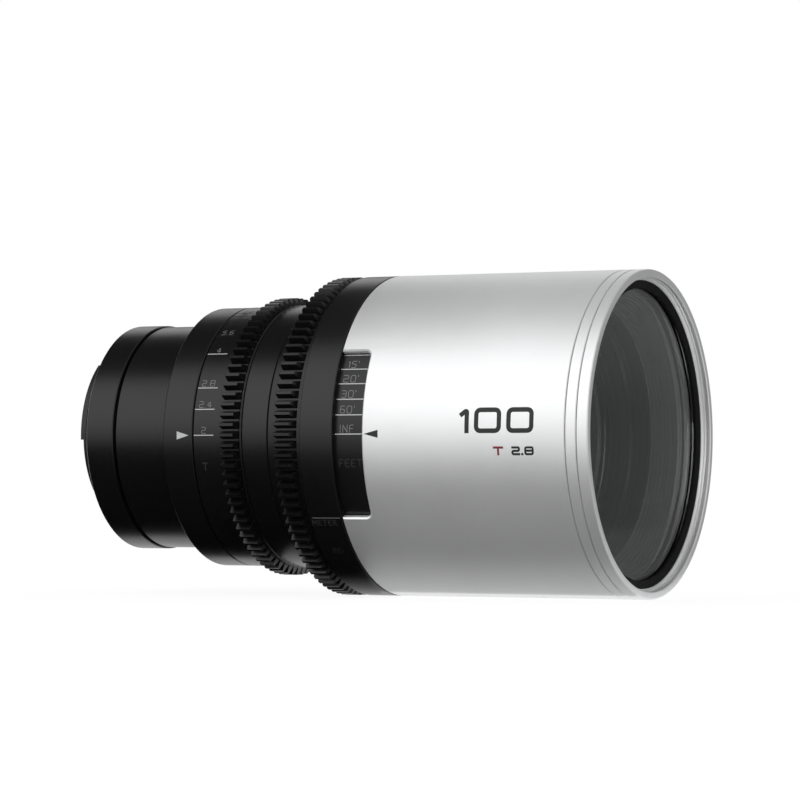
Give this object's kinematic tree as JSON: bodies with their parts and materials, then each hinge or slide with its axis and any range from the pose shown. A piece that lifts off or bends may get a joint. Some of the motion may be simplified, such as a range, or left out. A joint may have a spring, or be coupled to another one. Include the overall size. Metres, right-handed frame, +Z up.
{
  "type": "cinema prime lens",
  "caption": "Fixed focal length cinema lens with geared focus and iris rings, scale window, bladed iris, threaded front and camera bayonet.",
  "frame": {"origin": "centre of the camera flange seat, on the lens axis", "axes": "+X along the lens axis towards the front glass, +Z up, index marks on the -Y side"},
  "size_m": [0.148, 0.08, 0.08],
  "materials": {
    "steel": "satin steel",
    "brass_shim": "rolled brass",
    "black_anodised": "satin black anodised",
    "black_inner": "matt black anodised",
    "silver_anodised": "satin silver anodised",
    "brass_roller": "turned brass",
    "optical_glass": "coated optical glass",
    "blade_steel": "satin blackened steel",
    "baffle_black": "matt black"
  },
  "bodies": {
    "lens_body": {"bayonet_mount": "blade_steel", "mount_screws": "steel", "flange_shim": "brass_shim", "mount_base": "black_anodised", "base_screws": "steel", "rear_baffle": "baffle_black", "rear_barrel": "black_anodised", "rear_set_screws": "steel", "rear_cell": "black_inner", "rear_element": "optical_glass", "rear_retainer": "black_inner", "doublet_crown": "optical_glass", "doublet_flint": "optical_glass", "doublet_retainer": "black_inner", "main_tube": "black_inner", "focus_stop_pin": "steel", "centre_collar": "black_anodised", "collar_set_screws": "steel", "iris_base_plate": "black_inner", "iris_retaining_ring": "black_inner", "front_barrel": "silver_anodised", "barrel_screws": "steel", "front_set_screws": "steel", "front_spacer_ring": "silver_anodised", "filter_ring": "silver_anodised", "front_cell": "black_inner", "front_glass": "optical_glass", "front_retaining_ring": "baffle_black", "front_baffle": "black_inner", "second_retainer": "black_inner", "second_element": "optical_glass", "third_element": "optical_glass", "third_retainer": "black_inner"},
    "focus_ring": {"focus_gear_ring": "black_anodised", "focus_ring_screws": "steel", "focus_band": "black_anodised", "focus_scale_sleeve": "black_anodised", "focus_cam_sleeve": "black_inner"},
    "focus_cell": {"focus_cell": "black_inner", "focus_rear_element": "optical_glass", "focus_spacer": "black_inner", "focus_front_element": "optical_glass", "focus_retainer": "black_inner", "cam_rollers": "brass_roller", "roller_screws": "steel"},
    "iris_control": {"iris_ring": "black_anodised", "iris_key": "steel", "iris_scroll_plate": "black_inner"},
    "iris_blade_1": {"iris_blade_1": "blade_steel"},
    "iris_blade_2": {"iris_blade_2": "blade_steel"},
    "iris_blade_3": {"iris_blade_3": "blade_steel"},
    "iris_blade_4": {"iris_blade_4": "blade_steel"},
    "iris_blade_5": {"iris_blade_5": "blade_steel"},
    "iris_blade_6": {"iris_blade_6": "blade_steel"},
    "iris_blade_7": {"iris_blade_7": "blade_steel"},
    "iris_blade_8": {"iris_blade_8": "blade_steel"},
    "iris_blade_9": {"iris_blade_9": "blade_steel"}
  },
  "joints": [
    {"name": "focus_turn", "type": "hinge", "parent": "lens_body", "child": "focus_ring", "pos_m": [0.06, 0, 0], "axis": [1, 0, 0], "range_deg": [0, 120]},
    {"name": "focus_cell_slide", "type": "slide", "parent": "lens_body", "child": "focus_cell", "axis": [1, 0, 0], "range_m": [0, 0.009]},
    {"name": "iris_turn", "type": "hinge", "parent": "lens_body", "child": "iris_control", "pos_m": [0.04, 0, 0], "axis": [1, 0, 0], "range_deg": [0, 114]},
    {"name": "blade_1_turn", "type": "hinge", "parent": "lens_body", "child": "iris_blade_1", "pos_m": [0.0376, 0.0245, 0], "axis": [1, 0, 0], "range_deg": [0, 31.5]},
    {"name": "blade_2_turn", "type": "hinge", "parent": "lens_body", "child": "iris_blade_2", "pos_m": [0.0376, 0.01877, 0.01575], "axis": [1, 0, 0], "range_deg": [0, 31.5]},
    {"name": "blade_3_turn", "type": "hinge", "parent": "lens_body", "child": "iris_blade_3", "pos_m": [0.0376, 0.00425, 0.02413], "axis": [1, 0, 0], "range_deg": [0, 31.5]},
    {"name": "blade_4_turn", "type": "hinge", "parent": "lens_body", "child": "iris_blade_4", "pos_m": [0.0376, -0.01225, 0.02122], "axis": [1, 0, 0], "range_deg": [0, 31.5]},
    {"name": "blade_5_turn", "type": "hinge", "parent": "lens_body", "child": "iris_blade_5", "pos_m": [0.0376, -0.02302, 0.00838], "axis": [1, 0, 0], "range_deg": [0, 31.5]},
    {"name": "blade_6_turn", "type": "hinge", "parent": "lens_body", "child": "iris_blade_6", "pos_m": [0.0376, -0.02302, -0.00838], "axis": [1, 0, 0], "range_deg": [0, 31.5]},
    {"name": "blade_7_turn", "type": "hinge", "parent": "lens_body", "child": "iris_blade_7", "pos_m": [0.0376, -0.01225, -0.02122], "axis": [1, 0, 0], "range_deg": [0, 31.5]},
    {"name": "blade_8_turn", "type": "hinge", "parent": "lens_body", "child": "iris_blade_8", "pos_m": [0.0376, 0.00425, -0.02413], "axis": [1, 0, 0], "range_deg": [0, 31.5]},
    {"name": "blade_9_turn", "type": "hinge", "parent": "lens_body", "child": "iris_blade_9", "pos_m": [0.0376, 0.01877, -0.01575], "axis": [1, 0, 0], "range_deg": [0, 31.5]}
  ],
  "couplings": [
    {"joint": "focus_cell_slide", "follows": "focus_turn", "m_per_rad": 0.0042972},
    {"joint": "blade_1_turn", "follows": "iris_turn", "ratio": 0.27632},
    {"joint": "blade_2_turn", "follows": "iris_turn", "ratio": 0.27632},
    {"joint": "blade_3_turn", "follows": "iris_turn", "ratio": 0.27632},
    {"joint": "blade_4_turn", "follows": "iris_turn", "ratio": 0.27632},
    {"joint": "blade_5_turn", "follows": "iris_turn", "ratio": 0.27632},
    {"joint": "blade_6_turn", "follows": "iris_turn", "ratio": 0.27632},
    {"joint": "blade_7_turn", "follows": "iris_turn", "ratio": 0.27632},
    {"joint": "blade_8_turn", "follows": "iris_turn", "ratio": 0.27632},
    {"joint": "blade_9_turn", "follows": "iris_turn", "ratio": 0.27632}
  ]
}
